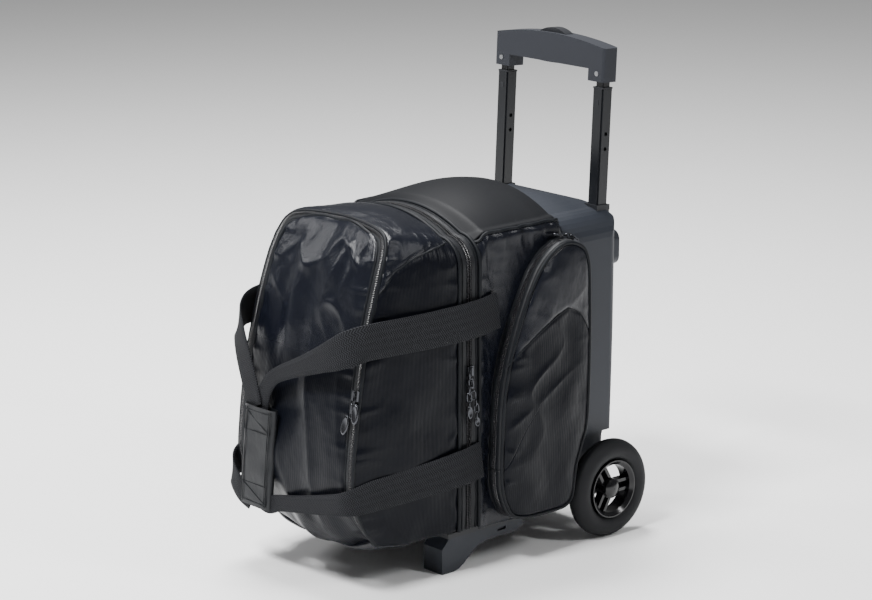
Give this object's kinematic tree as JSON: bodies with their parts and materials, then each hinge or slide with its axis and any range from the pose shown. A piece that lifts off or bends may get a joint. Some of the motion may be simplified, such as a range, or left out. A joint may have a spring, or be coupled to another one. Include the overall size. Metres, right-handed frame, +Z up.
{
  "type": "bowling ball bag",
  "caption": "Wheeled single-ball bowling bag: soft ball section on a moulded rear shell, front shoe section, side pockets, carrying straps and a telescopic handle.",
  "frame": {"origin": "centre of the whole object's outline in plan, on the ground plane", "axes": "+Z up; -Y is the bag's front, where the shoe section is; +Y is the wheeled rear shell; X is across the bag"},
  "size_m": [0.3076, 0.475, 0.6351],
  "materials": {
    "shell_plastic": "fine satin grain",
    "black_plastic": "satin",
    "black_gloss": "glossy",
    "grip_plastic": "matte",
    "tyre": "matte",
    "black_tube": "semi-gloss anodised black",
    "steel": "bright",
    "dark_metal": "glossy gunmetal",
    "nylon": "coated nylon with a soft sheen",
    "ribbed_nylon": "ribbed nylon",
    "smooth_panel": "smooth coated panel",
    "webbing": "herringbone webbing",
    "foam": "matte foam",
    "lining": "plain lining"
  },
  "bodies": {
    "bag": {"rear_shell": "shell_plastic", "rear_bumper": "shell_plastic", "bumper_screws": "steel", "base_board": "black_plastic", "foot_left": "shell_plastic", "foot_right": "shell_plastic", "foot_screws": "steel", "axle_left": "steel", "axle_right": "steel", "axle_clips": "steel", "handle_sleeves": "black_tube", "sleeve_collars": "black_plastic", "sleeve_bracket": "black_plastic", "ball_walls": "nylon", "top_panel": "smooth_panel", "ball_cup": "foam", "back_lining": "lining", "main_zip_rear": "nylon", "pocket_left": "nylon", "pocket_right": "nylon", "pocket_zips": "black_plastic"},
    "stage1": {"stage1_tubes": "black_tube", "stage1_collars": "black_plastic"},
    "stage2": {"stage2_tubes": "black_tube", "lock_blocks": "black_plastic", "grip_body": "grip_plastic", "grip_cover": "grip_plastic", "grip_screws": "steel", "button_spring": "steel"},
    "button": {"grip_button": "black_plastic", "release_rods": "steel"},
    "wheel_left": {"tyre_left": "tyre", "rim_left": "black_gloss", "hub_cap_left": "black_gloss"},
    "wheel_right": {"tyre_right": "tyre", "rim_right": "black_gloss", "hub_cap_right": "black_gloss"},
    "shoe_section": {"shoe_walls": "nylon", "shoe_divider": "lining", "main_zip_front": "nylon", "front_panel": "nylon", "front_zip": "nylon"},
    "front_flap": {"front_flap": "nylon"},
    "pocket_flap_left": {"flap_left": "ribbed_nylon"},
    "pocket_flap_right": {"flap_right": "ribbed_nylon"},
    "strap_loop_left": {"strap_left": "webbing"},
    "strap_loop_right": {"strap_right": "webbing", "strap_wrap": "nylon"},
    "main_slider_upper": {"slider_main_upper": "dark_metal"},
    "main_slider_lower": {"slider_main_lower": "dark_metal"},
    "main_pull_upper": {"pull_main_upper": "dark_metal"},
    "main_pull_lower": {"pull_main_lower": "dark_metal"},
    "front_slider_upper": {"slider_front_upper": "dark_metal"},
    "front_slider_lower": {"slider_front_lower": "dark_metal"},
    "front_pull_upper": {"pull_front_upper": "dark_metal"},
    "front_pull_lower": {"pull_front_lower": "dark_metal"},
    "pocket_slider_left": {"slider_pocket_left": "dark_metal"},
    "pocket_slider_right": {"slider_pocket_right": "dark_metal"},
    "pocket_pull_left": {"pull_pocket_left": "dark_metal"},
    "pocket_pull_right": {"pull_pocket_right": "dark_metal"}
  },
  "joints": [
    {"name": "handle_stage1_slide", "type": "slide", "parent": "bag", "child": "stage1", "axis": [0, 0.0471, 0.9989], "range_m": [-0.146, 0.077]},
    {"name": "handle_stage2_slide", "type": "slide", "parent": "stage1", "child": "stage2", "axis": [0, 0.0471, 0.9989], "range_m": [0, 0.2]},
    {"name": "grip_button_press", "type": "slide", "parent": "stage2", "child": "button", "axis": [0, 0.0471, 0.9989], "range_m": [-0.004, 0], "stiffness_N_per_m": 900, "springref_m": 0.001, "deforming": ["button_spring"]},
    {"name": "wheel_left_spin", "type": "hinge", "parent": "bag", "child": "wheel_left", "pos_m": [-0.14, 0.174, 0.0635], "axis": [1, 0, 0], "continuous": true},
    {"name": "wheel_right_spin", "type": "hinge", "parent": "bag", "child": "wheel_right", "pos_m": [0.14, 0.174, 0.0635], "axis": [1, 0, 0], "continuous": true},
    {"name": "shoe_section_open", "type": "hinge", "parent": "bag", "child": "shoe_section", "pos_m": [0, -0.088, 0.05], "axis": [1, 0, 0], "range_deg": [0, 35]},
    {"name": "front_flap_open", "type": "hinge", "parent": "shoe_section", "child": "front_flap", "pos_m": [0, -0.1945, 0.3465], "axis": [1, 0, 0], "range_deg": [0, 115]},
    {"name": "pocket_left_open", "type": "hinge", "parent": "bag", "child": "pocket_flap_left", "pos_m": [-0.1345, 0.1315, 0.225], "axis": [0, 0, -1], "range_deg": [0, 75]},
    {"name": "pocket_right_open", "type": "hinge", "parent": "bag", "child": "pocket_flap_right", "pos_m": [0.1345, 0.1315, 0.225], "axis": [0, 0, 1], "range_deg": [0, 75]},
    {"name": "strap_left_swing", "type": "hinge", "parent": "bag", "child": "strap_loop_left", "pos_m": [-0.1315, -0.012, 0.327], "axis": [0, -0.1399, -0.9902], "range_deg": [0, 105]},
    {"name": "strap_right_swing", "type": "hinge", "parent": "bag", "child": "strap_loop_right", "pos_m": [0.1315, -0.012, 0.327], "axis": [0, 0.1399, 0.9902], "range_deg": [0, 105]},
    {"name": "main_zip_upper_slide", "type": "slide", "parent": "bag", "child": "main_slider_upper", "axis": [0, 0, 1], "range_m": [0, 0.034]},
    {"name": "main_zip_lower_slide", "type": "slide", "parent": "bag", "child": "main_slider_lower", "axis": [0, 0, 1], "range_m": [-0.018, 0]},
    {"name": "main_pull_upper_swing", "type": "hinge", "parent": "main_slider_upper", "child": "main_pull_upper", "pos_m": [0.13155, -0.054, 0.258], "axis": [0, -1, 0], "range_deg": [0, 150]},
    {"name": "main_pull_lower_swing", "type": "hinge", "parent": "main_slider_lower", "child": "main_pull_lower", "pos_m": [0.13155, -0.054, 0.242], "axis": [0, -1, 0], "range_deg": [0, 90]},
    {"name": "front_zip_upper_slide", "type": "slide", "parent": "shoe_section", "child": "front_slider_upper", "axis": [0, 0.1495, 0.9888], "range_m": [0, 0.035]},
    {"name": "front_zip_lower_slide", "type": "slide", "parent": "shoe_section", "child": "front_slider_lower", "axis": [0, 0.1495, 0.9888], "range_m": [-0.045, 0]},
    {"name": "front_pull_upper_swing", "type": "hinge", "parent": "front_slider_upper", "child": "front_pull_upper", "pos_m": [0.1054, -0.21806, 0.25319], "axis": [-1, 0, 0], "range_deg": [0, 150]},
    {"name": "front_pull_lower_swing", "type": "hinge", "parent": "front_slider_lower", "child": "front_pull_lower", "pos_m": [0.1054, -0.22048, 0.23719], "axis": [-1, 0, 0], "range_deg": [0, 90]},
    {"name": "pocket_zip_left_run", "type": "hinge", "parent": "bag", "child": "pocket_slider_left", "pos_m": [-0.132, 0.088, 0.351], "axis": [1, 0, 0], "range_deg": [0, 60]},
    {"name": "pocket_zip_right_run", "type": "hinge", "parent": "bag", "child": "pocket_slider_right", "pos_m": [0.132, 0.088, 0.351], "axis": [1, 0, 0], "range_deg": [0, 60]},
    {"name": "pocket_pull_left_swing", "type": "hinge", "parent": "pocket_slider_left", "child": "pocket_pull_left", "pos_m": [-0.132, 0.11817, 0.39573], "axis": [-1, 0, 0], "range_deg": [0, 100]},
    {"name": "pocket_pull_right_swing", "type": "hinge", "parent": "pocket_slider_right", "child": "pocket_pull_right", "pos_m": [0.132, 0.11817, 0.39573], "axis": [-1, 0, 0], "range_deg": [0, 100]}
  ],
  "couplings": [
    {"joint": "strap_left_swing", "follows": "shoe_section_open", "ratio": 3},
    {"joint": "strap_right_swing", "follows": "shoe_section_open", "ratio": 3}
  ]
}
